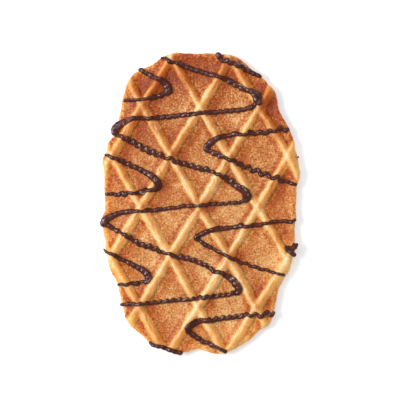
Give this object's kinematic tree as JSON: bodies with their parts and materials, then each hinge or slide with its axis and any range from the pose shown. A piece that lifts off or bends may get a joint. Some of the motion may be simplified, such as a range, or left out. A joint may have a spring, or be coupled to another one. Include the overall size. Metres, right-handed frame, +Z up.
{
  "type": "butter waffle cookie",
  "caption": "Thin oval butter waffle cookie with a diamond lattice of ridges on both faces and a zigzag drizzle of set dark chocolate on the upper one.",
  "frame": {"origin": "on the surface it rests on, under the middle of the whole cookie", "axes": "+X across the cookie, +Y along its length, +Z up out of the drizzled face"},
  "size_m": [0.0637, 0.0965, 0.0064],
  "materials": {
    "baked_waffle": "baked butter waffle, dry and finely pitted, golden on the ridges and browner in the diamonds",
    "dark_chocolate": "set dark chocolate, smooth with a soft gloss"
  },
  "bodies": {
    "root": {"waffle": "baked_waffle", "drizzle_main": "dark_chocolate", "drizzle_top_right": "dark_chocolate", "drizzle_left_top": "dark_chocolate", "drizzle_right_1": "dark_chocolate", "drizzle_left_mid": "dark_chocolate", "drizzle_right_2": "dark_chocolate", "drizzle_left_low": "dark_chocolate", "drizzle_right_3": "dark_chocolate", "drizzle_bottom_left": "dark_chocolate", "drizzle_drop": "dark_chocolate"}
  },
  "joints": []
}
